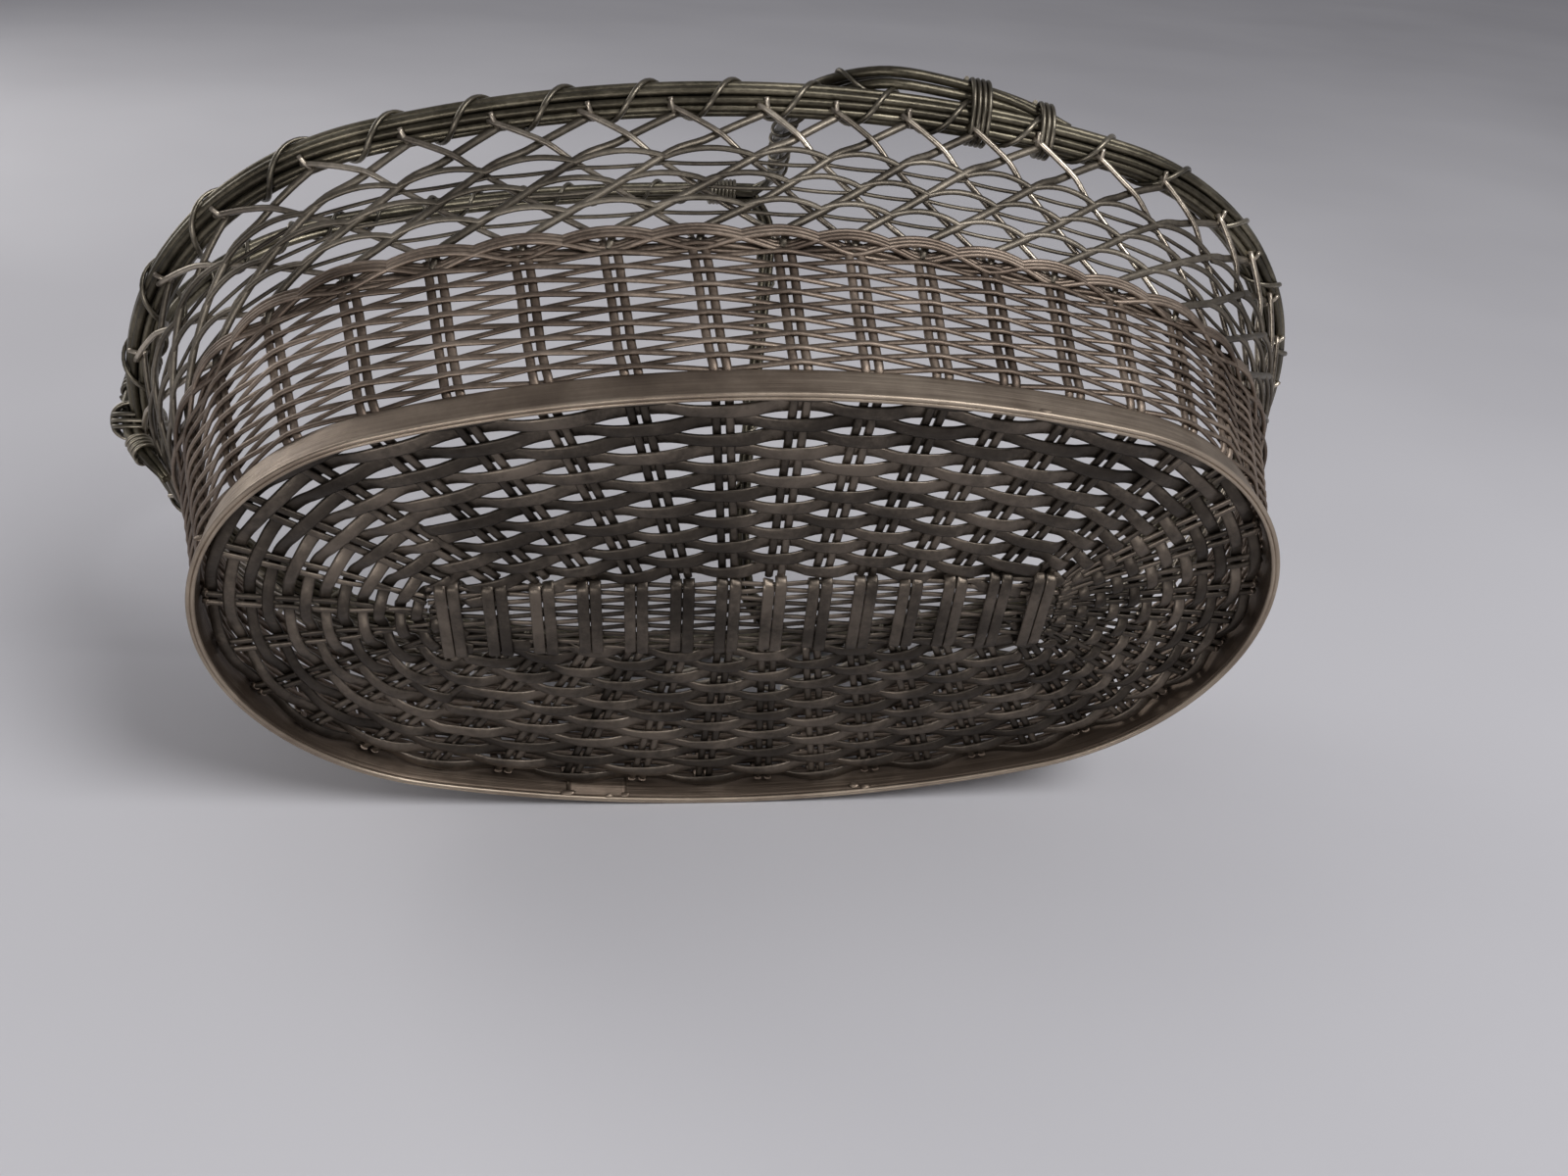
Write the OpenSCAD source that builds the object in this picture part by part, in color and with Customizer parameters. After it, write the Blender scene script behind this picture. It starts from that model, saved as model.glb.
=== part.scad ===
// Oval wire basket with a raised bow handle, of the kind that holds a bottle on its side.
// A flat foot band carries a woven base and woven sides; above a wavy border stands an open
// lattice, closed by a bound rim. The bow rises at the back and forks onto both long sides.
// +Z is up, the foot stands on z = 0, +X is the open front end and -X the handle end.

/* [Foot and base] */
// Half of the foot's length
foot_half_length = 113; // [90:0.5:140]
// Half of the foot's width
foot_half_width = 65; // [60:0.5:90]
// Radius of the foot's two round ends
foot_end_r = 57; // [40:0.5:59]
// Height of the flat foot band
band_h = 8; // [5:0.5:14]
// Thickness of the foot band's strip
band_t = 0.8; // [0.5:0.1:2]
// Radius of the bead wire along the band's lower edge
edge_wire_r = 0.6; // [0.4:0.1:1.2]
// Length of the lap where the band's two ends overlap
lap_length = 13; // [8:0.5:20]
// Height of the base weave's upper face above the table
base_top_z = 7.4; // [5:0.1:12]
// Thickness of the base weave's closed sheet
base_sheet_t = 0.8; // [0.4:0.1:2]
// Number of weaver rows between the spine and the band
base_rows = 13; // [8:1:18]
// Width of a flat base weaver
base_weaver_w = 2.3; // [1.5:0.1:3.2]
// Thickness of a flat base weaver
base_weaver_t = 0.9; // [0.5:0.05:1.5]

/* [Spine] */
// Number of cross bars on the spine
bar_count = 14; // [10:2:18]
// Distance from one cross bar to the next
bar_pitch = 9.6; // [7:0.1:12]
// Length of a cross bar
bar_length = 21; // [14:0.5:30]
// Width of one strip of a cross bar
bar_strip_w = 2; // [1:0.1:3]
// Gap between the two strips of a bar
bar_gap = 0.35; // [0.1:0.05:1]
// Number of long wires under the cross bars
spine_wire_count = 10; // [8:2:10]
// Radius of a long spine wire
spine_wire_r = 0.45; // [0.3:0.05:0.6]

/* [Stakes and sides] */
// Stake pairs that fan out of the spine on each side of the front tip
front_fan = 5; // [3:1:5]
// Stake pairs that fan out of the spine on each side of the rear tip
rear_fan = 2; // [1:1:3]
// Share of a front quarter of the oval that its fan takes
fan_share = 0.36; // [0.2:0.01:0.5]
// Part of a pair's pitch by which the stakes lean back between band and waist
stake_lean = 0.28; // [0:0.01:0.5]
// Radius of one stake wire
stake_r = 0.8; // [0.5:0.05:1.2]
// Distance between the two stakes of a pair
stake_gap = 2.4; // [1.7:0.05:3]
// Height of the side weave's top edge
side_top_z = 38; // [28:0.5:60]
// Thickness of the side weave's closed sheet
side_sheet_t = 0.6; // [0.4:0.1:2]
// Outward lean of the sides, millimetres out for each millimetre up
side_lean = 0.25; // [0:0.01:0.5]
// Number of weaver rows on the sides
side_rows = 16; // [8:1:24]
// Radius of a side weaver
side_weaver_r = 0.45; // [0.3:0.05:0.8]
// Radius of a wire in the wavy waist border
border_r = 0.65; // [0.4:0.05:1]

/* [Lattice] */
// Radius of a lattice wire
lattice_r = 0.7; // [0.4:0.05:1]
// Stake pairs that a lattice wire passes on its way to the rim
lattice_steps = 2.5; // [1.5:0.5:3.5]
// Radius of a tie wire
tie_r = 0.5; // [0.3:0.05:0.8]

/* [Rim] */
// How far the rim stands outside the foot
rim_out = 20; // [10:0.5:30]
// Height of the rim's centre at mid length
rim_z = 66; // [50:0.5:90]
// Rise of the rim towards the front, in degrees
rim_tilt = 1.7; // [0:0.1:4]
// Radius of the rim's core
rim_core_r = 1.6; // [1:0.05:3]
// Radius of one of the rim's outer wires
rim_wire_r = 0.92; // [0.6:0.05:1.4]
// Number of outer wires around the core
rim_wire_count = 8; // [6:1:10]
// Number of binder turns around the rim
rim_turns = 40; // [24:1:60]
// Radius of the binder wire
binder_r = 0.5; // [0.3:0.05:0.8]

/* [Handle] */
// Radius of one handle wire
handle_wire_r = 1.05; // [0.8:0.05:1.5]
// Radius of the bow's tight rear bend
bow_rear_r = 60; // [40:1:80]
// Radius of the bow's long upper curve
bow_top_r = 300; // [150:5:500]
// Height at which the rear bend begins
bow_rear_z = 85; // [75:1:110]
// Angle at which the rear bend passes into the upper curve
bow_blend_a = 112; // [100:1:125]

/* [Hidden] */
$fn = 32;
// the part is centred front to back by this shift of the bowl
shift_x = 2.61;
// four-centre oval: end arcs about [end_x, 0], side arcs about [0, -side_y]
end_x = foot_half_length - foot_end_r;
end_drop = foot_half_width - foot_end_r;
side_y = (end_x * end_x - end_drop * end_drop) / (2 * end_drop);
side_r = foot_half_width + side_y;
join_a = atan2(side_y, end_x);
end_len = foot_end_r * join_a * PI / 180;
side_len = side_r * (90 - join_a) * PI / 180;
quarter = end_len + side_len;
front_pairs = bar_count / 2 + front_fan;
rear_pairs = bar_count / 2 + rear_fan;
group_count = 2 * (front_pairs + rear_pairs);
fan_pitch = quarter * fan_share / front_fan;
bar_pair_pitch = quarter * (1 - fan_share) / (bar_count / 2);
side_inner = -1.5;
side_low_z = base_top_z - base_sheet_t;
weaver_off = side_sheet_t / 2 + side_weaver_r + 0.02;
stake_off = side_sheet_t / 2 + 2 * side_weaver_r + stake_r + 0.12;
ring_z = base_top_z - base_sheet_t - base_weaver_t / 2 - 0.01;
stake_z = ring_z - base_weaver_t / 2 - stake_r - 0.01;
spine_half = (bar_count / 2 - 0.5) * bar_pitch;
spine_wire_pitch = 2.2;
lattice_low_z = side_top_z + 1.6;
lattice_low_off = side_inner + side_lean * (side_top_z - side_low_z) + 1;
rim_r = rim_core_r + 2 * rim_wire_r + 0.02;
lattice_top_drop = rim_r + lattice_r + 0.2;
// each straight length stops this far short of the elbow, so that the two stay apart at the sharpest bend
elbow_gap = 0.2;
bow_x = -(foot_half_length + rim_out + rim_r + 2 * handle_wire_r + 0.51);
bow_cx = bow_x + bow_rear_r;
bow_end_z = 58;
bow_cx2 = bow_cx - (bow_top_r - bow_rear_r) * cos(bow_blend_a);
bow_cz2 = bow_rear_z - (bow_top_r - bow_rear_r) * sin(bow_blend_a);
junction_z = bow_cz2 + bow_top_r;
metal = [0.55, 0.52, 0.47];
metal_dark = [0.36, 0.35, 0.33];
metal_rim = [0.45, 0.44, 0.38];

// ---- shape of the oval ----

function unit(v) = v / norm(v);

// direction in degrees of the oval's outward normal, s along it from the front, and at pair number u
function quarter_a(s) = s < end_len ? s / foot_end_r * 180 / PI
    : join_a + (s - end_len) / side_r * 180 / PI;
function arc_a(s) =
    let (w = s - 4 * quarter * floor(s / (4 * quarter)),
         q = floor(w / quarter),
         f = w - q * quarter)
    q % 2 == 0 ? q * 90 + quarter_a(f) : (q + 1) * 90 - quarter_a(quarter - f);
// length along the oval from the front or rear tip to pair number v of that end
function front_arc(v) = v < front_fan ? v * fan_pitch
    : front_fan * fan_pitch + (v - front_fan) * bar_pair_pitch;
function rear_arc(v) = v * quarter / rear_pairs;
function pair_arc(v) = v < front_pairs ? front_arc(v)
    : v < group_count - front_pairs ? 2 * quarter - rear_arc(front_pairs + rear_pairs - v)
    : 4 * quarter - front_arc(group_count - v);
function pair_a(u) = arc_a(pair_arc(u + 0.5 - group_count * floor((u + 0.5) / group_count)));
// fan pairs and pair arc at end way of the basket, 1 the front and -1 the rear
function tip_fan(way) = way > 0 ? front_fan : rear_fan;
function tip_arc(way, v) = way > 0 ? front_arc(v) : rear_arc(v);
// pair number at the waist and above of the pair that has number u at the foot
function lean_u(u) = u + stake_lean * sin(pair_a(u));

// point of the oval that lies off outside the foot, where its normal points along a
function oval_at(off, a) =
    let (cx = cos(a), cy = sin(a), b = atan2(abs(cy), abs(cx)),
         px = b < join_a ? end_x + (foot_end_r + off) * cos(b) : (side_r + off) * cos(b),
         py = b < join_a ? (foot_end_r + off) * sin(b) : (side_r + off) * sin(b) - side_y)
    [(cx < 0 ? -px : px), (cy < 0 ? -py : py)];

// offset of the side weave's middle at height z
function wall_off(z) = side_inner + side_lean * (z - side_low_z);

// point of the lattice at pair number u, t of the way from the waist to the rim
function lattice_at(u, t, lift) =
    let (p = oval_at(lattice_low_off + t * (rim_out - lattice_low_off) + lift, pair_a(u)),
         top = rim_z - lattice_top_drop + tan(rim_tilt) * p.x)
    [p.x, p.y, lattice_low_z + t * (top - lattice_low_z)];

module placed() {
    translate([shift_x, 0, 0]) children();
}

// carries a small outline, drawn about [0, 0], once around the oval; butt leaves a hairline
// between the four arcs, where the real wires are butted
module around_oval(off, butt = 0) {
    for (h = [0, 180]) {
        rotate([0, 0, h]) {
            translate([end_x, 0, 0])
                rotate([0, 0, -join_a + butt])
                    rotate_extrude(angle = 2 * (join_a - butt))
                        translate([foot_end_r + off, 0]) children();
            translate([0, -side_y, 0])
                rotate([0, 0, join_a + butt])
                    rotate_extrude(angle = 180 - 2 * (join_a + butt))
                        translate([side_r + off, 0]) children();
        }
    }
}

module oval_face(off) {
    for (s = [-1, 1]) {
        translate([s * end_x, 0]) circle(r = foot_end_r + off);
    }
    intersection() {
        translate([0, -side_y]) circle(r = side_r + off);
        translate([0, side_y]) circle(r = side_r + off);
        square([2 * (side_r + off) * cos(join_a), 4 * foot_half_width], center = true);
    }
}

// straight round wire from p to q
module wire(p, q, r) {
    v = q - p;
    len = norm(v);
    translate(p)
        rotate([0, acos(v.z / len), atan2(v.y, v.x)])
            cylinder(r = r, h = len);
}

// closed turn of wire about the axis v at the point p
module turn(p, v, big_r, small_r) {
    translate(p)
        rotate([0, acos(v.z / norm(v)), atan2(v.y, v.x)])
            rotate_extrude() translate([big_r, 0]) circle(r = small_r);
}

// ---- foot ----

module foot_band() {
    color(metal) placed() linear_extrude(band_h) difference() {
        oval_face(0);
        oval_face(-band_t);
    }
}

module foot_band_lap() {
    color(metal_dark) placed()
        translate([0, -side_y, 0.4])
            rotate([0, 0, 90 + 5.5])
                rotate_extrude(angle = lap_length / side_r * 180 / PI)
                    translate([side_r - 2 * band_t, 0])
                        square([band_t - 0.02, band_h - 1.8]);
}

module foot_edge_wire() {
    color(metal) placed() translate([0, 0, edge_wire_r + 0.15])
        around_oval(edge_wire_r + 0.02) circle(r = edge_wire_r);
}

// ---- base ----

module spine_bars() {
    color(metal_dark) placed() for (i = [0 : bar_count - 1], s = [-1, 1]) {
        translate([
            -spine_half + i * bar_pitch + s * (bar_strip_w + bar_gap) / 2,
            0,
            stake_z,
        ]) cube([bar_strip_w, bar_length, 2 * stake_r], center = true);
    }
}

module spine_wires() {
    color(metal_dark) placed() for (i = [0 : spine_wire_count - 1]) {
        y = (i - (spine_wire_count - 1) / 2) * spine_wire_pitch;
        z = stake_z + stake_r + 0.02 + spine_wire_r;
        wire([-spine_half - 4, y, z], [spine_half + 4, y, z], spine_wire_r);
    }
}

// pair of stakes from p towards q
module stake_pair(p, q, gap0, gap1) {
    v = q - p;
    side = [-v.y, v.x, 0] / norm([v.x, v.y, 0]);
    for (s = [-0.5, 0.5]) {
        wire(p + s * gap0 * side, q + s * gap1 * side, stake_r);
    }
}

module base_stakes() {
    color(metal_dark) placed() for (sx = [-1, 1], sy = [-1, 1], j = [0 : bar_count / 2 - 1]) {
        e = oval_at(-band_t - 1.9, quarter_a(tip_arc(sx, tip_fan(sx) + j + 0.5)));
        x = spine_half - j * bar_pitch;
        stake_pair(
            [sx * x, sy * (bar_length / 2 + stake_r), stake_z],
            [sx * e.x, sy * e.y, stake_z], stake_gap, stake_gap);
    }
}

// one long wire runs on to each pair's start, at the front; at the rear each pair takes two of them
module end_stakes() {
    color(metal_dark) placed() for (sx = [-1, 1], sy = [-1, 1], j = [0 : tip_fan(sx) - 1]) {
        e = oval_at(-band_t - 1.9, quarter_a(tip_arc(sx, j + 0.5)));
        pitch = sx > 0 ? spine_wire_pitch : 2 * spine_wire_pitch;
        p = [sx * (spine_half + 4.2), sy * (j + 0.5) * pitch, stake_z];
        q = [sx * e.x, sy * e.y, stake_z];
        m = p + 0.3 * (q - p);
        wire(p, m - 0.1 * unit(q - p), spine_wire_r);
        stake_pair(m, q, 1.8, stake_gap);
    }
}

module base_weavers() {
    row = (foot_half_width - bar_length / 2 - 4) / base_rows;
    color(metal_dark) placed() translate([0, 0, ring_z - base_weaver_t / 2]) {
        for (i = [0 : base_rows - 1]) {
            off = -band_t - 0.8 - i * row;
            linear_extrude(base_weaver_t) difference() {
                oval_face(off);
                oval_face(off - base_weaver_w);
            }
        }
    }
}

module base_sheet() {
    color(metal_dark) placed()
        translate([0, 0, base_top_z - base_sheet_t])
            linear_extrude(base_sheet_t - 0.02) oval_face(side_inner - side_sheet_t / 2 - 0.05);
}

// ---- sides ----

module side_sheet() {
    t = side_sheet_t / 2;
    color(metal) placed() around_oval(0) polygon([
        [wall_off(side_low_z) - t, side_low_z],
        [wall_off(side_low_z) + t, side_low_z],
        [wall_off(side_top_z) + t, side_top_z],
        [wall_off(side_top_z) - t, side_top_z],
    ]);
}

module side_weavers() {
    low = band_h + 1;
    step = (side_top_z - 3.6 - low) / (side_rows - 1);
    color(metal) placed() for (i = [0 : side_rows - 1]) {
        z = low + i * step;
        translate([0, 0, z])
            around_oval(wall_off(z) + weaver_off, 0.02) circle(r = side_weaver_r);
    }
}

module side_stakes() {
    low = band_h + 0.4;
    top = side_top_z - 2.6;
    color(metal) placed() for (u = [0 : group_count - 1]) {
        a = pair_a(u);
        p = oval_at(wall_off(low) + stake_off, a);
        q = oval_at(wall_off(top) + stake_off, pair_a(lean_u(u)));
        side = [-sin(a), cos(a), 0];
        for (s = [-0.5, 0.5]) {
            wire([p.x, p.y, low] + s * stake_gap * side,
                 [q.x, q.y, top] + s * stake_gap * side, stake_r);
        }
    }
}

module waist_border() {
    color(metal) placed() for (i = [0 : 2]) {
        z = side_top_z - 1.6 + (i == 1 ? -0.1 : 0.55 * i);
        off = wall_off(z) + side_sheet_t / 2 + border_r + 0.05 + (i == 1 ? 1.4 : 0);
        translate([0, 0, i == 2 ? z + 0.7 : z])
            around_oval(i == 2 ? off + 0.9 : off) circle(r = border_r);
    }
}

// ---- lattice ----

// one family of lattice wires, each in two straight lengths; way is the side that it leans to
module lattice(way, lift) {
    half = way * lattice_steps / 2;
    for (u = [0 : group_count - 1]) {
        w = lean_u(u);
        p = lattice_at(w, 0, lift);
        m = lattice_at((u + w) / 2 + half, 0.5, lift);
        q = lattice_at(u + 2 * half, 1, lift);
        wire(p, m - elbow_gap * unit(m - p), lattice_r);
        wire(m + elbow_gap * unit(q - m), q, lattice_r);
    }
}

module lattice_left() {
    color(metal) placed() lattice(1, lattice_r + 0.15);
}

module lattice_right() {
    color(metal) placed() lattice(-1, -lattice_r - 0.15);
}

module lattice_ties() {
    color(metal) placed() for (i = [1 : 3]) {
        t = i / (2 * lattice_steps);
        top = rim_z - lattice_top_drop;
        translate([0, 0, lattice_low_z + t * (top - lattice_low_z)])
            rotate([0, -rim_tilt * t, 0])
                around_oval(lattice_low_off + t * (rim_out - lattice_low_off)
                    + 2 * lattice_r + tie_r + 1) circle(r = tie_r);
    }
}

// ---- rim ----

module rim_place() {
    placed() translate([0, 0, rim_z]) rotate([0, -rim_tilt, 0]) children();
}

module rim_core() {
    color(metal_rim) rim_place() around_oval(rim_out) circle(r = rim_core_r);
}

module rim_wires() {
    color(metal_rim) rim_place() around_oval(rim_out) for (i = [0 : rim_wire_count - 1]) {
        rotate(i * 360 / rim_wire_count)
            translate([rim_core_r + rim_wire_r + 0.01, 0]) circle(r = rim_wire_r);
    }
}

module rim_binder() {
    color(metal_rim) rim_place() for (i = [0 : rim_turns - 1]) {
        a = arc_a(i * 4 * quarter / rim_turns);
        p = oval_at(rim_out, a);
        turn([p.x, p.y, 0], [-sin(a), cos(a), 0.25], rim_r + binder_r + 0.15, binder_r);
    }
}

module rim_tails() {
    color(metal) placed() for (u = [0 : group_count - 1]) {
        a = pair_a(u + 0.5 + 0.18);
        p = oval_at(rim_out - 1.2, a);
        z = rim_z - rim_r - 0.05 + tan(rim_tilt) * p.x;
        wire([p.x, p.y, z - 2.6], [p.x, p.y, z], 0.55);
    }
}

// ---- handle ----

// four parallel wires in one outline, two across and two deep
module handle_outline() {
    s = handle_wire_r + 0.02;
    for (x = [-s, s], y = [-s, s]) {
        translate([x, y]) circle(r = handle_wire_r);
    }
}

module bow_arc(cx, cz, r, a0, a1) {
    translate([cx, 0, cz])
        rotate([90, 0, 0])
            rotate([0, 0, a0])
                rotate_extrude(angle = a1 - a0)
                    translate([r, 0]) children();
}

module handle_bow() {
    color(metal_rim) placed() {
        translate([bow_x, 0, bow_end_z])
            linear_extrude(bow_rear_z - bow_end_z - 0.03) handle_outline();
        bow_arc(bow_cx, bow_rear_z, bow_rear_r, bow_blend_a + 0.03, 180) handle_outline();
        bow_arc(bow_cx2, bow_cz2, bow_top_r, 90, bow_blend_a) handle_outline();
    }
}

// point of the bow's centre line and its direction, at the angle a of one of its bends
function bow_at(a) = a > bow_blend_a
    ? [bow_cx + bow_rear_r * cos(a), 0, bow_rear_z + bow_rear_r * sin(a)]
    : [bow_cx2 + bow_top_r * cos(a), 0, bow_cz2 + bow_top_r * sin(a)];
bow_turn_r = 2.12 * handle_wire_r * 1.16 + binder_r;

module bow_turn(a, lean) {
    turn(bow_at(a), [sin(a), lean, -cos(a)], bow_turn_r, binder_r);
}

module bow_binder() {
    color(metal_rim) placed() {
        for (i = [0 : 4]) bow_turn(172 - i * 12.5, 0.2);
        for (i = [0 : 6]) bow_turn(110.5 - i * 2.45, 0.2);
    }
}

module junction_binding() {
    color(metal_rim) placed() for (i = [0 : 5]) bow_turn(92.4 - i * 0.235, 0);
}

module rear_binding() {
    color(metal_rim) placed() for (i = [0 : 7]) {
        turn([bow_x, 0, 73.5 + i * 1.15], [0, 0, 1], bow_turn_r, binder_r);
    }
    color(metal_rim) placed() for (i = [0 : 2]) {
        turn([bow_x, 0, 59.2 + i * 1.15], [0, 0, 1], bow_turn_r, binder_r);
    }
}

// smooth curve through hand-set points: point i of k along the span from b to c
function bend(a, b, c, d, t) = 0.5 * (2 * b + (c - a) * t + (2 * a - 5 * b + 4 * c - d) * t * t
    + (3 * b - 3 * c + d - a) * t * t * t);
function smooth(pts, k) = [
    for (i = [1 : len(pts) - 3], j = [0 : k - 1])
        bend(pts[i - 1], pts[i], pts[i + 1], pts[i + 2], j / k),
    pts[len(pts) - 2]
];
function heading(path, i) = unit(path[min(i + 1, len(path) - 1)] - path[max(i - 1, 0)]);

// round wire swept along a path
module swept_wire(path, r, sides) {
    n = len(path);
    frame_a = [for (i = [0 : n - 1]) unit(cross(heading(path, i), [1, 0.35, 1.3]))];
    frame_b = [for (i = [0 : n - 1]) cross(heading(path, i), frame_a[i])];
    points = [
        for (i = [0 : n - 1], j = [0 : sides - 1])
            path[i] + r * (cos(j * 360 / sides) * frame_a[i] + sin(j * 360 / sides) * frame_b[i])
    ];
    walls = [
        for (i = [0 : n - 2], j = [0 : sides - 1])
            [i * sides + j, (i + 1) * sides + j,
             (i + 1) * sides + (j + 1) % sides, i * sides + (j + 1) % sides]
    ];
    caps = [
        [for (j = [0 : sides - 1]) j],
        [for (j = [sides - 1 : -1 : 0]) (n - 1) * sides + j],
    ];
    polyhedron(points = points, faces = concat(walls, caps), convexity = 6);
}

// centre line of a leg: down from the bow's end, over the rim and forward along it
leg_inner = [
    [2, -1.1, 162.4], [11.5, -1.2, 162.3], [17.4, -9, 157.2], [15.6, -28, 137.8], [12, -50, 112],
    [10.5, -67, 91.5], [13.5, -79.6, 77], [24, -87.2, 70.4], [38, -86.2, 69.8], [53, -83.7, 70.3],
    [66, -80.9, 70.7], [80, -77, 71],
];
leg_outer = [
    [2, -1.1, 160.3], [11.5, -1.2, 160.2], [15.2, -9, 155.2], [13.4, -28, 135.9], [9.8, -50, 110.1],
    [8.3, -67, 90], [11.2, -81.4, 78.2], [23.5, -89.2, 71.6], [38, -88, 71], [53, -85.5, 71.5],
    [66, -82.7, 71.9], [80, -78.8, 72.3],
];

module leg(side) {
    color(metal_rim) placed() mirror([0, side > 0 ? 1 : 0, 0]) {
        swept_wire(smooth(leg_inner, 3), handle_wire_r, 8);
        swept_wire(smooth(leg_outer, 3), handle_wire_r, 8);
    }
}

module leg_near() {
    leg(-1);
}

module leg_far() {
    leg(1);
}

// tight turns that tie a leg to the rim
module leg_binding(side) {
    color(metal_rim) placed() for (x = [42, 43.15, 44.3, 57, 58.15, 59.3]) {
        a = acos(x / (side_r + rim_out));
        p = oval_at(rim_out + 2, a);
        turn([p.x, side * p.y, rim_z + tan(rim_tilt) * p.x + 1.4],
            [-sin(a), side * cos(a), 0], rim_r + 3.15, binder_r);
    }
}

module leg_binding_near() {
    leg_binding(-1);
}

module leg_binding_far() {
    leg_binding(1);
}

foot_band();
foot_band_lap();
foot_edge_wire();
spine_bars();
spine_wires();
base_stakes();
end_stakes();
base_weavers();
base_sheet();
side_sheet();
side_weavers();
side_stakes();
waist_border();
lattice_left();
lattice_right();
lattice_ties();
rim_core();
rim_wires();
rim_binder();
rim_tails();
handle_bow();
bow_binder();
junction_binding();
rear_binding();
leg_near();
leg_far();
leg_binding_near();
leg_binding_far();
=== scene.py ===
import math

import bpy
import numpy as np
from mathutils import Matrix, Vector


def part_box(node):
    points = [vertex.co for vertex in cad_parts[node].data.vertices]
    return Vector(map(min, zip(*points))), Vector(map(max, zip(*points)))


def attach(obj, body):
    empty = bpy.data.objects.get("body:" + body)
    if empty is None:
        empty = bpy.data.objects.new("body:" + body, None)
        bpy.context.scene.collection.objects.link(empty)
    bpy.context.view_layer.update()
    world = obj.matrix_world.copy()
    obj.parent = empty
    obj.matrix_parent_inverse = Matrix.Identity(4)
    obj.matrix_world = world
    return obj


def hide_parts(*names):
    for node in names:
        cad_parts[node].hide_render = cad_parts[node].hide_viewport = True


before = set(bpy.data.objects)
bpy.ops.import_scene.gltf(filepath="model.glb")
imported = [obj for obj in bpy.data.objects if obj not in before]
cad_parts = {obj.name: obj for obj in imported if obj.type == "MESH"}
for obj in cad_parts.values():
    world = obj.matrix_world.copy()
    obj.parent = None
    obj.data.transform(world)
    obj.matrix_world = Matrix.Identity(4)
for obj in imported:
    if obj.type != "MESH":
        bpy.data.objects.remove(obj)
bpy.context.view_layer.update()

RNG = np.random.default_rng(7)
MM = 0.001

# ------------------------------------------------------------------ sizes, millimetres
# the foot's four-centre oval: end arcs of radius END_R about (END_X, 0), side arcs of radius
# SIDE_R about (0, -SIDE_Y)
HALF_L, HALF_W, END_R = 113.0, 65.0, 57.0
END_X = HALF_L - END_R
DROP = HALF_W - END_R
SIDE_Y = (END_X ** 2 - DROP ** 2) / (2 * DROP)
SIDE_R = HALF_W + SIDE_Y
JOIN = math.atan2(SIDE_Y, END_X)
END_LEN = END_R * JOIN
QUARTER = END_LEN + SIDE_R * (math.pi / 2 - JOIN)
BARS, BAR_PITCH, BAR_HALF = 14, 9.6, 10.5
FRONT_FAN, REAR_FAN, FAN_SHARE, LEAN = 5, 2, 0.36, 0.32
FRONT, REAR = BARS // 2 + FRONT_FAN, BARS // 2 + REAR_FAN
GROUPS = 2 * (FRONT + REAR)
FAN_PITCH = QUARTER * FAN_SHARE / FRONT_FAN
BAR_PAIR = QUARTER * (1 - FAN_SHARE) / (BARS / 2)
band_low, band_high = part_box("foot_band")
SHIFT = 500.0 * (band_low[0] + band_high[0])
BAND_H = 1000.0 * band_high[2]
SPINE_HALF = (BARS / 2 - 0.5) * BAR_PITCH
STAKE_R, STAKE_GAP = 0.92, 2.5
WALL_Z0, WALL_LEAN = 6.6, 0.25
WAIST_Z, WAIST_OFF = 39.6, 7.4
RIM_OFF, RIM_Z, RIM_TILT = 20.0, 66.0, math.tan(math.radians(1.7))
RIM_R = 3.45
STEPS = 2.5
TWIST = 1.8
# the weave: rows of the base from the band inward, and rows of the side from the band upward
BASE_ROWS, BASE_FIRST, BASE_STEP = 14, -3.1, 3.68
SIDE_ROWS, SIDE_FIRST, SIDE_STEP = 18, 8.9, 1.57
RUNGS, RUNG_PITCH = 10, 2.2
# the rim: outer wires round a core, and the turns of its binder
RIM_WIRES, RIM_WIRE_R, RIM_RING_R = 9, 0.88, 2.5
TURNS, BINDER_RING_R = 38, 3.75
# metal shared by every piece
METALLIC, METAL_IOR = 0.86, 1.6


# ------------------------------------------------------------------ the oval
def quarter_angle(s):
    return np.where(s < END_LEN, s / END_R, JOIN + (s - END_LEN) / SIDE_R)


def arc_angle(s):
    """Direction of the outward normal, s along the foot from the front tip."""
    turns = np.floor(s / (4 * QUARTER))
    w = s - turns * 4 * QUARTER
    q = np.clip(np.floor(w / QUARTER), 0, 3)
    f = w - q * QUARTER
    even = q * math.pi / 2 + quarter_angle(f)
    odd = (q + 1) * math.pi / 2 - quarter_angle(QUARTER - f)
    return np.where(q % 2 == 0, even, odd) + turns * 2 * math.pi


def front_arc(v):
    return np.where(v < FRONT_FAN, v * FAN_PITCH, FRONT_FAN * FAN_PITCH + (v - FRONT_FAN) * BAR_PAIR)


def rear_arc(v):
    return v * QUARTER / REAR


def pair_angle(u):
    """Direction of the outward normal at pair number u, counted from the front end."""
    v = np.asarray(u, float) + 0.5
    turns = np.floor(v / GROUPS)
    v = v - turns * GROUPS
    s = np.where(v < FRONT, front_arc(v), np.where(
        v < GROUPS - FRONT, 2 * QUARTER - rear_arc(FRONT + REAR - v), 4 * QUARTER - front_arc(GROUPS - v)))
    return arc_angle(s + turns * 4 * QUARTER)


def lean_u(u):
    """The stakes lean back as they rise, so a pair has this number at the waist and above."""
    a = pair_angle(u)
    return u + LEAN * np.sin(a) * (1 - 0.45 * np.cos(a))


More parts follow.
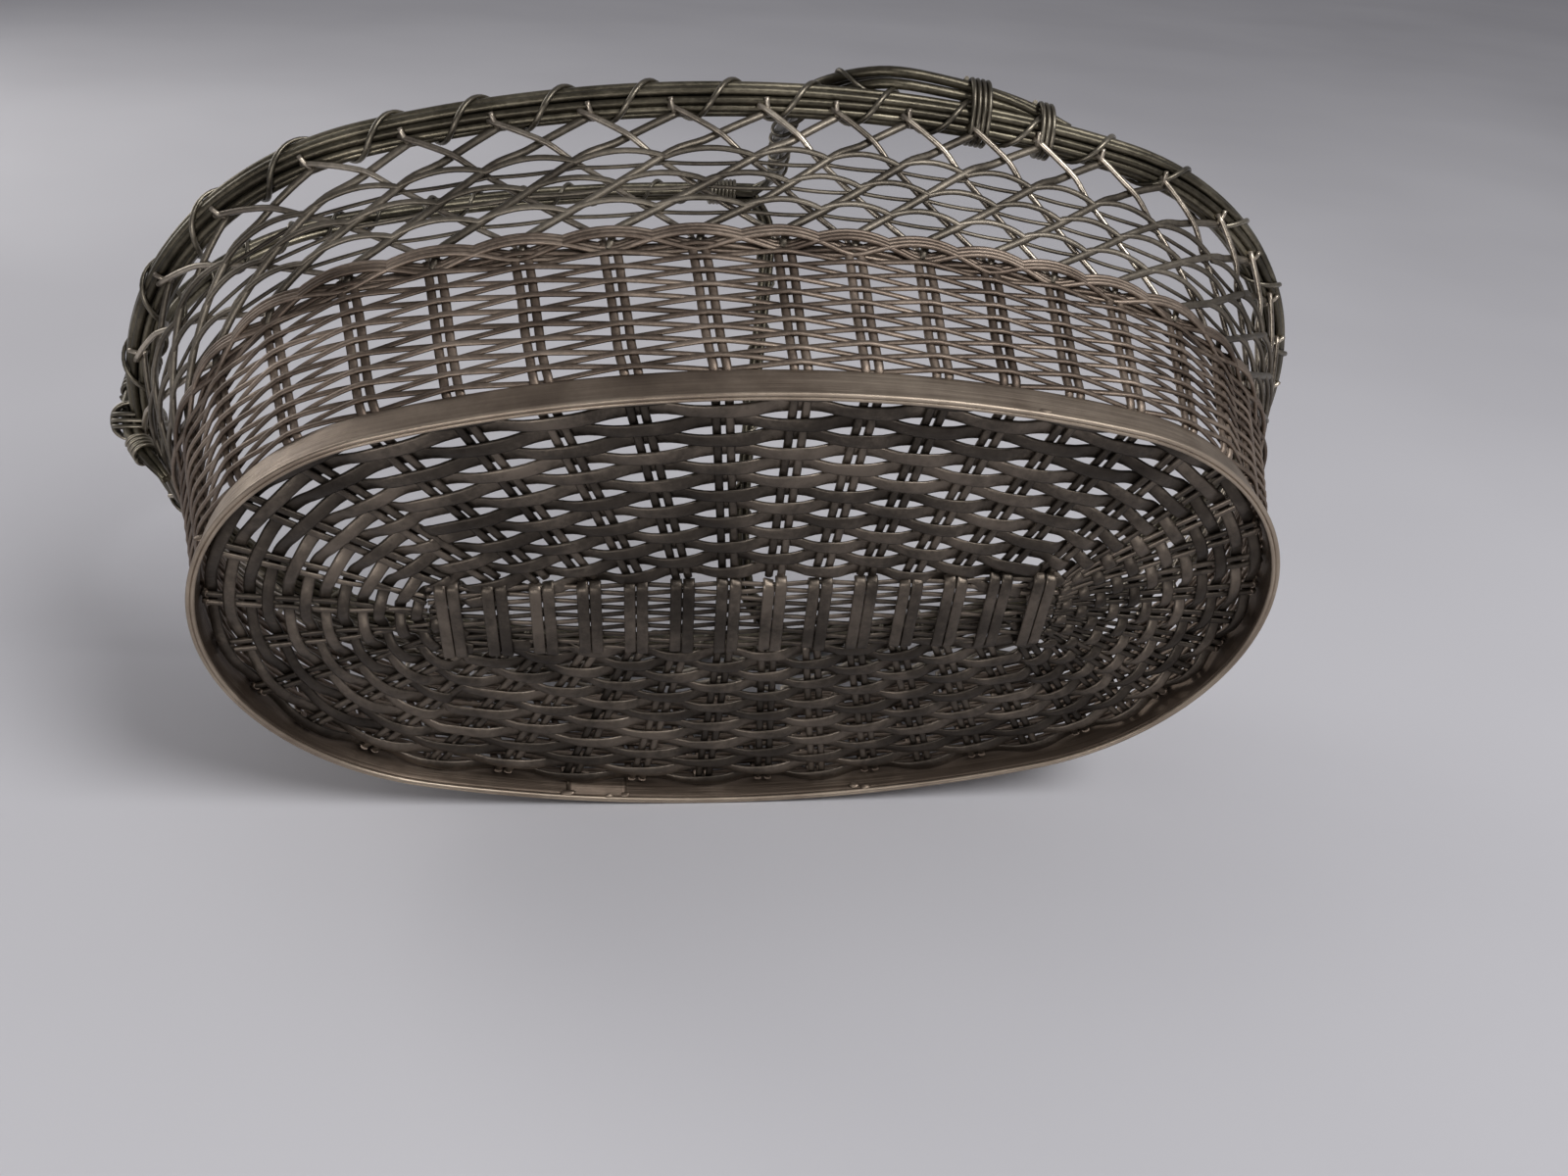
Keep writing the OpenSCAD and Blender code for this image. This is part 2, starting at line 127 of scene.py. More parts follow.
def oval_at(off, a):
    """Points off millimetres outside the foot, where its outward normal points along a."""
    cx, cy = np.cos(a), np.sin(a)
    b = np.arctan2(np.abs(cy), np.abs(cx))
    end = b < JOIN
    px = np.where(end, END_X + (END_R + off) * np.cos(b), (SIDE_R + off) * np.cos(b))
    py = np.where(end, (END_R + off) * np.sin(b), (SIDE_R + off) * np.sin(b) - SIDE_Y)
    return np.where(cx < 0, -px, px), np.where(cy < 0, -py, py)


def off_and_angle(x, y):
    """The reverse of oval_at, for a point inside or outside the foot."""
    ax, ay = abs(x), abs(y)
    b = math.atan2(ay, ax - END_X)
    if ax > END_X and b < JOIN:
        off = math.hypot(ax - END_X, ay) - END_R
    else:
        b = math.atan2(ay + SIDE_Y, ax)
        off = math.hypot(ax, ay + SIDE_Y) - SIDE_R
        if b < JOIN:
            b = math.atan2(ay, ax - END_X)
            off = math.hypot(ax - END_X, ay) - END_R
    return off, math.atan2(math.copysign(math.sin(b), y), math.copysign(math.cos(b), x))


def wall_off(z):
    """Offset of the middle of the woven side at height z."""
    return -0.55 + WALL_LEAN * (z - WALL_Z0)


def soft(x, k):
    """A wave with flat tops, as a wire has that rests across a pair of stakes."""
    return np.tanh(k * x) / math.tanh(k)


def wobble(u, amount, lobes, rng=RNG):
    """Slow closed unevenness along a ring, as hand work has."""
    out = np.zeros_like(u)
    for n in lobes:
        out += rng.uniform(-1, 1) * np.sin(2 * math.pi * n * u / GROUPS + rng.uniform(0, 6.28)) / len(lobes)
    return amount * out


# ------------------------------------------------------------------ wire meshes
def unit_rows(v):
    return v / np.maximum(np.linalg.norm(v, axis=-1, keepdims=True), 1e-9)


def settle(verts):
    """The old basket has settled: foot and base are turned a little against the waist and rim."""
    k = np.clip((verts[:, 2] - 9.0) / 28.0, 0, 1)
    a = math.radians(-TWIST) * (1 - k * k * (3 - 2 * k))
    c, s = np.cos(a), np.sin(a)
    return np.c_[c * verts[:, 0] - s * verts[:, 1], s * verts[:, 0] + c * verts[:, 1], verts[:, 2]]


class Wires:
    """Collects swept wires into one mesh object, with one tint value for each wire."""

    def __init__(self, name, sides=8):
        self.name, self.sides = name, sides
        self.verts, self.faces, self.tint = [], [], []
        self.count = 0

    def add(self, path, across, wide, deep=None, closed=False, tint=None, power=1.0):
        """Sweeps an oval section along path. across gives the direction of its depth at each
        point, wide and deep are its half width and half depth."""
        path = np.asarray(path, float)
        n = len(path)
        deep = wide if deep is None else deep
        wide = np.broadcast_to(np.asarray(wide, float), (n,))[:, None]
        deep = np.broadcast_to(np.asarray(deep, float), (n,))[:, None]
        if closed:
            tan = np.roll(path, -1, 0) - np.roll(path, 1, 0)
        else:
            tan = np.gradient(path, axis=0)
        tan = unit_rows(tan)
        nrm = np.broadcast_to(np.asarray(across, float), (n, 3))
        nrm = unit_rows(nrm - (nrm * tan).sum(1, keepdims=True) * tan)
        bin_ = np.cross(tan, nrm)
        rings = []
        for j in range(self.sides):
            t = 2 * math.pi * (j + 0.5) / self.sides
            c, s = math.cos(t), math.sin(t)
            c = math.copysign(abs(c) ** power, c)
            s = math.copysign(abs(s) ** power, s)
            rings.append(path + bin_ * wide * c + nrm * deep * s)
        pts = np.stack(rings, 1).reshape(-1, 3)
        base = self.count
        k = self.sides
        i = np.arange(n if closed else n - 1)[:, None]
        j = np.arange(k)[None, :]
        i2, j2 = (i + 1) % n, (j + 1) % k
        quads = np.stack([base + i * k + j, base + i * k + j2, base + i2 * k + j2, base + i2 * k + j], -1)
        self.faces.extend(quads.reshape(-1, 4).tolist())
        if not closed:
            self.faces.append([base + x for x in range(k)][::-1])
            self.faces.append([base + (n - 1) * k + x for x in range(k)])
        self.verts.append(pts)
        value = RNG.uniform(0, 1) if tint is None else tint
        self.tint.append(np.full(len(pts), value))
        self.count += len(pts)

    def sweep(self, profile, a, tint=0.5, inner_painted_shade=None):
        """Runs a closed profile of (offset, height) points round the oval, or along part of it. Profile
        points more than 0.6 mm inside may take a tint of their own, which paints shade on an inner face.
        """
        whole = abs(a[-1] - a[0]) > 6
        rings = []
        for o, z in profile:
            x, y = oval_at(o, a)
            rings.append(np.c_[x, y, np.full(len(a), z)])
        pts = np.stack(rings, 1).reshape(-1, 3)
        n, k, base = len(a), len(profile), self.count
        for i in range(n if whole else n - 1):
            i2 = (i + 1) % n
            for j in range(k):
                j2 = (j + 1) % k
                self.faces.append(
                    [base + i * k + j, base + i2 * k + j, base + i2 * k + j2, base + i * k + j2])
        if not whole:
            self.faces.append([base + x for x in range(k)])
            self.faces.append([base + (n - 1) * k + x for x in range(k)][::-1])
        self.verts.append(pts)
        # points more than 0.6 mm inside take the inner value: painted shade on the band's inner face
        inner_shade_value = tint if inner_painted_shade is None else inner_painted_shade
        self.tint.append(np.tile([inner_shade_value if o < -0.6 else tint for o, _ in profile], len(a)))
        self.count += len(pts)

    def blob(self, centre, radii, tint=0.2):
        """A small uneven drop of solder."""
        n, m, base = 10, 14, self.count
        pts = []
        for i in range(n + 1):
            for j in range(m):
                t, p_ = math.pi * i / n, 2 * math.pi * j / m
                r = 1 + 0.12 * math.sin(3 * p_ + centre[0]) * math.sin(t) + 0.08 * math.cos(2 * t + centre[1])
                pts.append([centre[0] + radii[0] * r * math.sin(t) * math.cos(p_),
                            centre[1] + radii[1] * r * math.sin(t) * math.sin(p_),
                            centre[2] + radii[2] * r * math.cos(t)])
        for i in range(n):
            for j in range(m):
                j2 = (j + 1) % m
                self.faces.append(
                    [base + i * m + j, base + (i + 1) * m + j, base + (i + 1) * m + j2, base + i * m + j2])
        self.verts.append(np.array(pts))
        self.tint.append(np.full(len(pts), tint))
        self.count += len(pts)

    def build(self, slot, material, nodes):
        mesh = bpy.data.meshes.new(self.name)
        verts = settle(np.concatenate(self.verts)) * MM
        verts[:, 0] += SHIFT * MM
        mesh.from_pydata(verts.tolist(), [], self.faces)
        mesh.update()
        mesh.polygons.foreach_set("use_smooth", [len(f) == 4 for f in self.faces])
        attr = mesh.attributes.new("tint", "FLOAT", "POINT")
        attr.data.foreach_set("value", np.concatenate(self.tint).astype(np.float32))
        mesh.materials.append(material)
        obj = bpy.data.objects.new(self.name, mesh)
        bpy.context.scene.collection.objects.link(obj)
        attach(obj, "root")
        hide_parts(*nodes)


# ------------------------------------------------------------------ materials
def metal(name, dark, mid, light, rough, grain=(1.0, 1.0, 1.0), patch=60.0, lines=0.0, bump=0.15):
    """Worn silver plate: blotches of tarnish, fine scratches and bright rubbed spots. Darker or lighter
    copies of the colours, and the tint attribute on the band's inner face, also paint shade and highlight.
    """
    mat = bpy.data.materials.new(name)
    mat.use_nodes = True
    nt = mat.node_tree
    nt.nodes.clear()
    new, link = nt.nodes.new, nt.links.new
    out = new("ShaderNodeOutputMaterial")
    shader = new("ShaderNodeBsdfPrincipled")
    shader.inputs["Metallic"].default_value = METALLIC
    shader.inputs["IOR"].default_value = METAL_IOR
    link(shader.outputs[0], out.inputs["Surface"])
    co = new("ShaderNodeTexCoord")
    stretch = new("ShaderNodeMapping")
    stretch.inputs["Scale"].default_value = grain
    link(co.outputs["Object"], stretch.inputs["Vector"])
    blotch = new("ShaderNodeTexNoise")
    blotch.inputs["Scale"].default_value = patch
    blotch.inputs["Detail"].default_value = 6.0
    blotch.inputs["Roughness"].default_value = 0.62
    link(co.outputs["Object"], blotch.inputs["Vector"])
    fine = new("ShaderNodeTexNoise")
    fine.inputs["Scale"].default_value = 900.0
    fine.inputs["Detail"].default_value = 4.0
    fine.inputs["Roughness"].default_value = 0.7
    link(stretch.outputs["Vector"], fine.inputs["Vector"])
    tint = new("ShaderNodeAttribute")
    tint.attribute_name = "tint"
    wear = new("ShaderNodeMath")
    wear.operation = "MULTIPLY_ADD"
    wear.inputs[1].default_value = 0.24
    link(tint.outputs["Fac"], wear.inputs[0])
    link(blotch.outputs["Fac"], wear.inputs[2])
    grainy = new("ShaderNodeMath")
    grainy.operation = "MULTIPLY_ADD"
    grainy.inputs[1].default_value = 0.32
    link(fine.outputs["Fac"], grainy.inputs[0])
    link(wear.outputs[0], grainy.inputs[2])
    ramp = new("ShaderNodeValToRGB")
    ramp.color_ramp.elements[0].position = 0.50
    ramp.color_ramp.elements[0].color = (*dark, 1)
    ramp.color_ramp.elements[1].position = 0.98
    ramp.color_ramp.elements[1].color = (*light, 1)
    middle = ramp.color_ramp.elements.new(0.74)
    middle.color = (*mid, 1)
    link(grainy.outputs[0], ramp.inputs["Fac"])
    link(ramp.outputs["Color"], shader.inputs["Base Color"])
    ruff = new("ShaderNodeMapRange")
    ruff.inputs["From Min"].default_value = 0.3
    ruff.inputs["From Max"].default_value = 0.75
    ruff.inputs["To Min"].default_value = rough[0]
    ruff.inputs["To Max"].default_value = rough[1]
    link(fine.outputs["Fac"], ruff.inputs["Value"])
    link(ruff.outputs["Result"], shader.inputs["Roughness"])
    dent = new("ShaderNodeBump")
    dent.inputs["Strength"].default_value = bump
    dent.inputs["Distance"].default_value = 0.0004
    link(fine.outputs["Fac"], dent.inputs["Height"])
    link(dent.outputs["Normal"], shader.inputs["Normal"])
    return mat


# the base and spine take a darker copy of the plate: painted shade on the underside of the basket, which
# faces away from the light
M_BASE_PAINTED_SHADE = metal("plate_base_painted_shade", (0.022, 0.017, 0.013), (0.058, 0.047, 0.037),
               (0.16, 0.130, 0.103), (0.34, 0.54))
M_SIDE = metal("plate_warm", (0.062, 0.044, 0.033), (0.138, 0.104, 0.080),
               (0.29, 0.230, 0.182), (0.42, 0.62))
# two copies of one plate for the lattice: the darker is painted shade on the wires of one lean and on the
# ties, the lighter a painted highlight on the wires of the other lean and on the rim tails
M_WIRE_PAINTED_SHADE = metal("plate_wire_painted_shade", (0.050, 0.041, 0.032), (0.115, 0.098, 0.076),
               (0.24, 0.208, 0.165), (0.40, 0.58))
M_WIRE_PAINTED_HIGHLIGHT = metal("plate_wire_painted_highlight", (0.10, 0.083, 0.065), (0.26, 0.222, 0.178),
                 (0.54, 0.475, 0.385), (0.26, 0.42))
M_RIM = metal("plate_rim", (0.030, 0.025, 0.017), (0.080, 0.069, 0.048),
              (0.205, 0.180, 0.130), (0.30, 0.50))
M_BIND = metal("plate_binder", (0.055, 0.048, 0.036), (0.145, 0.127, 0.097),
               (0.35, 0.312, 0.245), (0.30, 0.46))
M_BAND = metal("plate_band", (0.096, 0.071, 0.053), (0.215, 0.167, 0.127),
               (0.38, 0.312, 0.243), (0.38, 0.58),
               grain=(0.03, 0.03, 1.6), patch=38.0, bump=0.35)

# ------------------------------------------------------------------ stakes and the base
SEG = 9
BASE_Z = 5.2
OUTER_IN = -2.9
DOWN = np.array([0, 0, -1.0])


def bezier_fill(points, per):
    """Smooth curve through points, one row per sample."""
    p = np.asarray(points, float)
    q = np.vstack([2 * p[0] - p[1], p, 2 * p[-1] - p[-2]])
    out = []
    for i in range(1, len(q) - 2):
        a, b, c, d = q[i - 1], q[i], q[i + 1], q[i + 2]
        for t in np.linspace(0, 1, per, endpoint=False):
            out.append(0.5 * (2 * b + (c - a) * t + (2 * a - 5 * b + 4 * c - d) * t * t
                              + (3 * b - 3 * c + d - a) * t ** 3))
    out.append(q[-2])
    return np.array(out)


def tip_end(sx, sy, j):
    """Outer end of the line of pair j, counted from the front or the rear tip."""
    arc = front_arc(j + 0.5) if sx > 0 else rear_arc(j + 0.5)
    x, y = oval_at(OUTER_IN, arc_angle(np.asarray(arc, float)))
    return np.array([sx * float(x), sy * float(y)])


lines = {}
for sx in (-1, 1):
    fan = FRONT_FAN if sx > 0 else REAR_FAN
    for sy in (-1, 1):
        for j in range(fan + BARS // 2):
            if j >= fan:
                start = np.array([sx * (SPINE_HALF - (j - fan) * BAR_PITCH), sy * (BAR_HALF + 1.0)])
            else:
                wires_each = 1 if sx > 0 else 2
                start = np.array([sx * (SPINE_HALF + 4.5), sy * (j + 0.5) * RUNG_PITCH * wires_each])
            if sx > 0:
                u = j if sy > 0 else GROUPS - 1 - j
            else:
                u = FRONT + REAR - 1 - j if sy > 0 else FRONT + REAR + j
            lines[u] = (start, tip_end(sx, sy, j))


def beside(p, q, s, gap):
    """Both points moved sideways by s gaps, square to the line from p to q."""
    v = (q - p) / np.linalg.norm(q - p)
    n = np.array([-v[1], v[0]]) * s * gap
    return p + n, q + n, v


bars = Wires("spine_bars_worked", 12)
stakes = Wires("base_stakes_worked", 8)
for i in range(BARS):
    x0 = -SPINE_HALF + i * BAR_PITCH
    tint = RNG.uniform(0.0, 1.0)
    for s in (-1, 1):
        xb = x0 + s * 1.32 + RNG.uniform(-0.06, 0.06)
        reach = BAR_HALF + RNG.uniform(-0.5, 0.5)
        ys = np.array([-1, -0.97, -0.85, -0.4, 0, 0.4, 0.85, 0.97, 1]) * (reach + 0.6)
        zs = np.array([5.0, 3.9, 3.2, 3.1, 3.1, 3.1, 3.2, 3.9, 5.0]) + RNG.uniform(-0.15, 0.15)
        path = bezier_fill(np.c_[np.full(len(ys), xb), ys, zs], 4)
        face = DOWN + np.array([RNG.uniform(-0.12, 0.12), 0, 0])
        bars.add(path, face, 1.24, 0.42, tint=tint + RNG.uniform(-0.25, 0.25), power=0.5)
for u, (start, out) in lines.items():
    if abs(start[1]) < BAR_HALF + 0.5:
        continue
    for s in (-0.5, 0.5):
        p, q, v = beside(start, out, s, STAKE_GAP)
        t = np.linspace(0, 1, 26)
        sag = 0.25 * np.sin(math.pi * t * 3 + RNG.uniform(0, 6)) * RNG.uniform(0, 1)
        path = np.c_[p + t[:, None] * (q - p), BASE_Z + sag]
        path = np.vstack([path, [q[0] + 0.9 * v[0], q[1] + 0.9 * v[1], BASE_Z + 0.7]])
        stakes.add(path, DOWN, 0.9, 0.6)

rungs = Wires("spine_wires_worked", 8)
ends = Wires("end_stakes_worked", 8)
for k in range(RUNGS):
    y = (k - (RUNGS - 1) / 2) * RUNG_PITCH
    x = np.linspace(-SPINE_HALF - 4.2, SPINE_HALF + 4.2, 160)
    over = 0.3 * np.cos(math.pi * ((x + SPINE_HALF) / BAR_PITCH + k))
    rungs.add(np.c_[x, y + 0.12 * np.sin(x / 17 + k), 4.55 + over], DOWN, 0.68, 0.36)
for u, (start, out) in lines.items():
    if abs(start[1]) > BAR_HALF + 0.5:
        continue
    for s in (-0.5, 0.5):
        p0, q0, v = beside(start, out, s, 1.0)
        if start[0] < 0:
            p0 = start + np.array([0, s * RUNG_PITCH])
        w0, w1, _ = beside(start, out, s, STAKE_GAP)
        mid = w0 + 0.4 * (w1 - w0)
        pts = [[*p0, 4.6], [*(0.62 * p0 + 0.38 * mid), BASE_Z], [*mid, BASE_Z],
               [*(0.5 * (mid + w1)), BASE_Z], [*w1, BASE_Z], [*(w1 + 0.9 * v), BASE_Z + 0.7]]
        path = bezier_fill(pts, 8)
        ends.add(path, DOWN, np.linspace(0.55, 0.9, len(path)), np.linspace(0.4, 0.6, len(path)))

# the flat weavers of the base, row by row from the band to the spine
weavers = Wires("base_weavers_worked", 10)
for row in range(BASE_ROWS):
    off = BASE_FIRST - row * BASE_STEP
    angles = []
    for u in range(GROUPS):
        p0, p1 = lines[u]
        lo, hi = -0.75, 1.06
        for _ in range(30):
            m = 0.5 * (lo + hi)
            q = p0 + m * (p1 - p0)
            if off_and_angle(q[0], q[1])[0] < off:
                lo = m
            else:
                hi = m
        q = p0 + lo * (p1 - p0)
        angles.append(off_and_angle(q[0], q[1])[1])
    angles = np.unwrap(np.array(angles))
    angles = np.append(angles, angles[0] + 2 * math.pi)
    uu = np.linspace(0, GROUPS, GROUPS * SEG, endpoint=False)
    a = np.interp(uu, np.arange(GROUPS + 1), angles)
    x, y = oval_at(off + wobble(uu, 0.35, (2, 3, 5, 7)), a)
    wave = soft(np.cos(math.pi * (uu + row)), 1.3)
    z = BASE_Z - 0.98 * wave + wobble(uu, 0.12, (3, 4, 9))
    tilt = np.stack([np.zeros_like(x), np.zeros_like(x), -np.ones_like(x)], 1)
    lean = 0.35 * np.sin(math.pi * (uu + row))
    tilt[:, 0] += lean * np.cos(a) * 0.4
    tilt[:, 1] += lean * np.sin(a) * 0.4
    wide = 1.62 - 0.42 * np.abs(np.cos(a)) ** 3
    weavers.add(np.c_[x, y, z], tilt, wide, 0.4, closed=True, power=0.8)

# ------------------------------------------------------------------ the woven side
side_stakes = Wires("side_stakes_worked", 8)
for u in range(GROUPS):
    tint = RNG.uniform(0, 1)
    for s in (-0.5, 0.5):
        pts = []
        for z, o in ((4.9, -2.6), (6.2, -1.95), (7.6, -1.75), (9.2, wall_off(9.2)), (14, wall_off(14)),
                     (20, wall_off(20)), (27, wall_off(27)), (33, wall_off(33)), (37.5, wall_off(37.5))):
            rise = min(max((z - 8.0) / 29.0, 0.0), 1.0)
            a = float(pair_angle(u + rise * (float(lean_u(u)) - u)))
            side, out = np.array([-math.sin(a), math.cos(a), 0]), np.array([math.cos(a), math.sin(a), 0])
            x, y = oval_at(o + RNG.uniform(-0.06, 0.06), a)
            pts.append(np.array([float(x), float(y), z]) + side * (s * STAKE_GAP + RNG.uniform(-0.1, 0.1)))
        side_stakes.add(bezier_fill(pts, 4), out, STAKE_R, 0.5, tint=tint + RNG.uniform(-0.2, 0.2))

side_weavers = Wires("side_weavers_worked", 8)
for row in range(SIDE_ROWS):
    uu = np.linspace(0, GROUPS, GROUPS * SEG, endpoint=False)
    z = SIDE_FIRST + row * SIDE_STEP + wobble(uu, 0.2, (2, 5, 8, 11, 17))
    rise = np.clip((z - 8.0) / 29.0, 0, 1)
    a = pair_angle(uu + rise * (lean_u(uu) - uu))
    wave = np.arcsin(0.97 * np.cos(math.pi * (uu + row))) / math.asin(0.97)
    o = wall_off(z) + 0.9 * wave
    z = z + 0.1 * wave
    x, y = oval_at(o, a)
    side_weavers.add(np.c_[x, y, z], np.c_[np.cos(a), np.sin(a), np.zeros_like(a)], 0.66, 0.42, closed=True)

# the waist border: strands that arch over a pair and pass behind the next, in a wavy rope
border = Wires("waist_border_worked", 8)
for k in range(3):
    uu = np.linspace(0, GROUPS, GROUPS * SEG, endpoint=False)
    a = pair_angle(lean_u(uu))
    f = (uu - k + 0.85) % 3.0
    arch = np.where(f < 1.7, np.sin(math.pi * np.minimum(f / 1.7, 1)), 0.0) ** 0.9
    for m in (0, 1, 2):
        z = 36.9 - 0.98 * m + 1.9 * arch
        o = wall_off(z) + 0.45 + 1.35 * np.cos(2 * math.pi * (uu - k) / 3) + 0.16 * m
        x, y = oval_at(o, a)
        border.add(np.c_[x, y, z], np.c_[np.cos(a), np.sin(a), np.zeros_like(a)], 0.56, 0.5, closed=True)


# ------------------------------------------------------------------ the lattice
def lattice_at(u, t, lift):
    a = pair_angle(u)
    x, y = oval_at(WAIST_OFF + t * (RIM_OFF - WAIST_OFF) + lift, a)
    top = RIM_Z - RIM_R + 0.2 + RIM_TILT * x
    return x, y, WAIST_Z + t * (top - WAIST_Z), a


def lattice(name, way, lift, radius, flat):
    wires = Wires(name, 8)
    n = 30
    for u0 in range(GROUPS):
        w0 = float(lean_u(u0))
        t = np.linspace(0, 1, n)
        bow = RNG.uniform(-0.07, 0.07) * np.sin(math.pi * t)
        u = u0 + (w0 - u0) * (1 - t) + way * (0.06 + STEPS * (t + 0.02 * np.sin(2 * math.pi * t)) + bow)
        turn = np.clip((t - 0.62) / 0.16, 0, 1)
        x, y, z, a = lattice_at(u, t, lift * (1 - 2 * turn * turn * (3 - 2 * turn)))
        pts = np.c_[x, y, z]
        # the foot of the wire comes up out of the border beside its stake
        xs, ys = oval_at(wall_off(35.5), float(pair_angle(w0)))
        xm, ym = oval_at(wall_off(38.0) + lift * 0.5, float(pair_angle(w0 + way * 0.05)))
        pts = np.vstack([[float(xs), float(ys), 35.5], [float(xm), float(ym), 38.0], pts])
        # its head turns in under the rim
        ah = float(a[-1])
        pts = np.vstack([pts, pts[-1] + np.array([-0.8 * math.cos(ah), -0.8 * math.sin(ah), 1.0])])
        across = np.array([math.cos(ah), math.sin(ah), -0.5])
        wires.add(pts, across, radius * RNG.uniform(0.94, 1.06), flat)
    return wires


lat_a = lattice("lattice_left_worked", 1, 0.7, 0.82, 0.62)
lat_b = lattice("lattice_right_worked", -1, -0.7, 0.62, 0.6)

# three rows of twined ties: the front strand arches from crossing to crossing, the back one holds it
ties = Wires("lattice_ties_worked", 8)
for k in (1, 2, 3):
    t = k / (2 * STEPS)
    phase = 0.5 * (k % 2)
    uu = np.linspace(0, GROUPS, GROUPS * 12, endpoint=False)
    arch = np.sin(math.pi * ((uu - phase) % 1.0)) ** 0.8
    drift = wobble(uu, 0.3, (3, 5, 7))
    u = uu + (lean_u(uu) - uu) * (1 - t)
    for lift, sag, thick in ((0.5 + 0.9 * arch, 1.35 * arch, 0.72), (-0.75 - 0.3 * arch, -0.35 * arch, 0.5)):
        x, y, z, a = lattice_at(u, np.full_like(uu, t), lift)
        z = z - 0.5 + sag + drift
        ties.add(np.c_[x, y, z], np.c_[np.cos(a), np.sin(a), 0 * a], thick, 0.75 * thick, closed=True)

# ------------------------------------------------------------------ the rim
rim_core = Wires("rim_core_worked", 8)
rim_wires = Wires("rim_wires_worked", 8)
rim_binder = Wires("rim_binder_worked", 8)


def rim_ring(a, r, around):
    """Point at distance r from the rim's centre line, turned by around up from outward."""
    x, y = oval_at(RIM_OFF + r * np.cos(around), a)
    xc, _ = oval_at(RIM_OFF, a)
    z = RIM_Z + RIM_TILT * xc + r * np.sin(around)
    return np.c_[x, y, z], np.c_[np.cos(a) * np.cos(around), np.sin(a) * np.cos(around), np.sin(around)]


def rim_at(u, r, around):
    return rim_ring(pair_angle(u), r, around)


uu = np.linspace(0, GROUPS, 540, endpoint=False)
p, n = rim_at(uu, 0.001, np.zeros_like(uu))
rim_core.add(p, np.array([0, 0, 1.0]), 1.6, closed=True)
for k in range(RIM_WIRES):
    around = 2 * math.pi * k / RIM_WIRES + 0.3 + wobble(uu, 0.22, (2, 3, 5))
    p, n = rim_at(uu, RIM_RING_R + wobble(uu, 0.14, (7, 9, 13)), around)
    rim_wires.add(p, n, RIM_WIRE_R, closed=True)
per = 26
s = np.arange(0, TURNS * per)
around = 2 * math.pi * s / per + 0.5 * np.sin(s / 61.0)
p, n = rim_ring(arc_angle(s / (TURNS * per) * 4 * QUARTER), np.full(len(s), BINDER_RING_R), around)
rim_binder.add(p, n, 0.58, 0.42, closed=True)

tails = Wires("rim_tails_worked", 8)
for u0 in range(GROUPS):
    u = u0 + 0.5 + RNG.uniform(-0.06, 0.06)
    k = np.linspace(0, 1, 7)
    around = math.radians(-52) - k * math.radians(60)
    p, n = rim_at(np.full(7, u) + 0.05 * k, BINDER_RING_R + 0 * k, around)
    # tints in the upper half, on the lighter lattice plate: painted highlight on the tails
    tails.add(p, n, 0.52, tint=0.5 + 0.5 * RNG.uniform(0, 1))

# ------------------------------------------------------------------ the handle
HW = 1.05
BOW_X = -(HALF_L + RIM_OFF + RIM_R + 2 * HW - 0.8)
BOW_R, BOW_TOP, BOW_Z0, BLEND = 60.0, 300.0, 85.0, math.radians(112)
BOW_CX = BOW_X + BOW_R
CX2 = BOW_CX - (BOW_TOP - BOW_R) * math.cos(BLEND)
CZ2 = BOW_Z0 - (BOW_TOP - BOW_R) * math.sin(BLEND)


def bow_points(n_low=6, n_rear=34, n_top=44):
    pts = [(-126.0, 43.5), (-131.0, 50.0), (-135.4, 57.0)]
    pts += [(BOW_X, z) for z in np.linspace(66.0, BOW_Z0, n_low, endpoint=False)]
    pts += [(BOW_CX + BOW_R * math.cos(a), BOW_Z0 + BOW_R * math.sin(a))
            for a in np.linspace(math.pi, BLEND, n_rear, endpoint=False)]
    pts += [(CX2 + BOW_TOP * math.cos(a), CZ2 + BOW_TOP * math.sin(a))
            for a in np.linspace(BLEND, math.pi / 2, n_top)]
    return np.array([(x, 0.0, z) for x, z in pts])


centre = bow_points()
tan = unit_rows(np.gradient(centre, axis=0))
nrm = np.c_[-tan[:, 2], np.zeros(len(tan)), tan[:, 0]]
nrm = unit_rows(nrm)
yax = np.array([0, 1.0, 0])
length = np.r_[0, np.cumsum(np.linalg.norm(np.diff(centre, axis=0), axis=1))]
bow = Wires("handle_bow_worked", 10)
for k in range(4):
    ang = math.pi / 4 + k * math.pi / 2 + 0.25 * np.sin(length / 46.0)
    r = HW * (0.55 + 0.88 * np.clip(length / 18.0, 0, 1))
    path = centre + (r * np.cos(ang))[:, None] * nrm + (r * np.sin(ang))[:, None] * yax
    bow.add(path, nrm, HW * (0.5 + 0.5 * np.clip(length / 14.0, 0, 1)))


def coil(wires, l0, l1, turns, radius, thick):
    """A wire wound around the bow from length l0 to length l1 along it."""
    m = int(turns * 20) + 1
    l = np.linspace(l0, l1, m)
    c = np.stack([np.interp(l, length, centre[:, i]) for i in range(3)], 1)
    nn = unit_rows(np.stack([np.interp(l, length, nrm[:, i]) for i in range(3)], 1))
    t = np.linspace(0, 2 * math.pi * turns, m)
    d = np.cos(t)[:, None] * nn + np.sin(t)[:, None] * yax
    wires.add(c + radius * d, d, thick)


total = length[-1]
bow_binder = Wires("bow_binder_worked", 8)
coil(bow_binder, 44.0, total - 13.0, 14, 3.02, 0.5)
junction = Wires("junction_binding_worked", 8)
coil(junction, total - 13.0, total - 5.5, 7, 3.05, 0.52)
rear = Wires("rear_binding_worked", 8)
coil(rear, 30.0, 44.0, 9, 3.05, 0.52)
coil(rear, 9.0, 14.0, 4, 2.5, 0.42)
